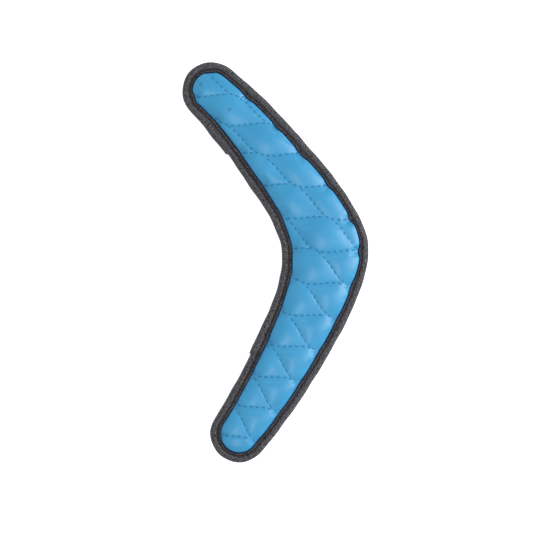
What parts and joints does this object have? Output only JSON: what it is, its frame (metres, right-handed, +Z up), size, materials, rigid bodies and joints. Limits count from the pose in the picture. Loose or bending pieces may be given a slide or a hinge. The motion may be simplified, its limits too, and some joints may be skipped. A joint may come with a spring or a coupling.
{
  "type": "soft boomerang toy",
  "caption": "Soft padded boomerang toy: quilted blue cloth covers over wadding and a foam core, bound round the rim with folded woven tape.",
  "frame": {"origin": "centre of the footprint, on the plane that the boomerang lies on", "axes": "+Y along the chord from the lower tip to the upper tip, +X from the hollow side towards the elbow, +Z up out of the front cover"},
  "size_m": [0.1296, 0.3008, 0.022],
  "materials": {
    "cover": "soft coated cloth with a slight satin sheen",
    "wadding": "fluffy polyester wadding",
    "core": "soft closed-cell foam",
    "tape": "ribbed woven tape",
    "quilt_thread": "matching sewing thread",
    "seam_thread": "dark sewing thread"
  },
  "bodies": {
    "root": {"front_cover": "cover", "back_cover": "cover", "front_wadding": "wadding", "back_wadding": "wadding", "core_pad": "core", "outer_binding_tape": "tape", "inner_binding_tape": "tape", "binding_needle_thread": "seam_thread", "binding_bobbin_thread": "seam_thread", "front_quilt_thread_01": "quilt_thread", "front_quilt_thread_02": "quilt_thread", "front_quilt_thread_03": "quilt_thread", "front_quilt_thread_04": "quilt_thread", "front_quilt_thread_05": "quilt_thread", "front_quilt_thread_06": "quilt_thread", "front_quilt_thread_07": "quilt_thread", "front_quilt_thread_08": "quilt_thread", "front_quilt_thread_09": "quilt_thread", "front_quilt_thread_10": "quilt_thread", "front_quilt_thread_11": "quilt_thread", "front_quilt_thread_12": "quilt_thread", "front_quilt_thread_13": "quilt_thread", "front_quilt_thread_14": "quilt_thread", "front_quilt_thread_15": "quilt_thread", "front_quilt_thread_16": "quilt_thread", "front_quilt_thread_17": "quilt_thread", "front_quilt_thread_18": "quilt_thread", "front_quilt_thread_19": "quilt_thread", "front_quilt_thread_20": "quilt_thread", "back_quilt_thread_01": "quilt_thread", "back_quilt_thread_02": "quilt_thread", "back_quilt_thread_03": "quilt_thread", "back_quilt_thread_04": "quilt_thread", "back_quilt_thread_05": "quilt_thread", "back_quilt_thread_06": "quilt_thread", "back_quilt_thread_07": "quilt_thread", "back_quilt_thread_08": "quilt_thread", "back_quilt_thread_09": "quilt_thread", "back_quilt_thread_10": "quilt_thread", "back_quilt_thread_11": "quilt_thread", "back_quilt_thread_12": "quilt_thread", "back_quilt_thread_13": "quilt_thread", "back_quilt_thread_14": "quilt_thread", "back_quilt_thread_15": "quilt_thread", "back_quilt_thread_16": "quilt_thread", "back_quilt_thread_17": "quilt_thread", "back_quilt_thread_18": "quilt_thread", "back_quilt_thread_19": "quilt_thread", "back_quilt_thread_20": "quilt_thread"}
  },
  "joints": []
}
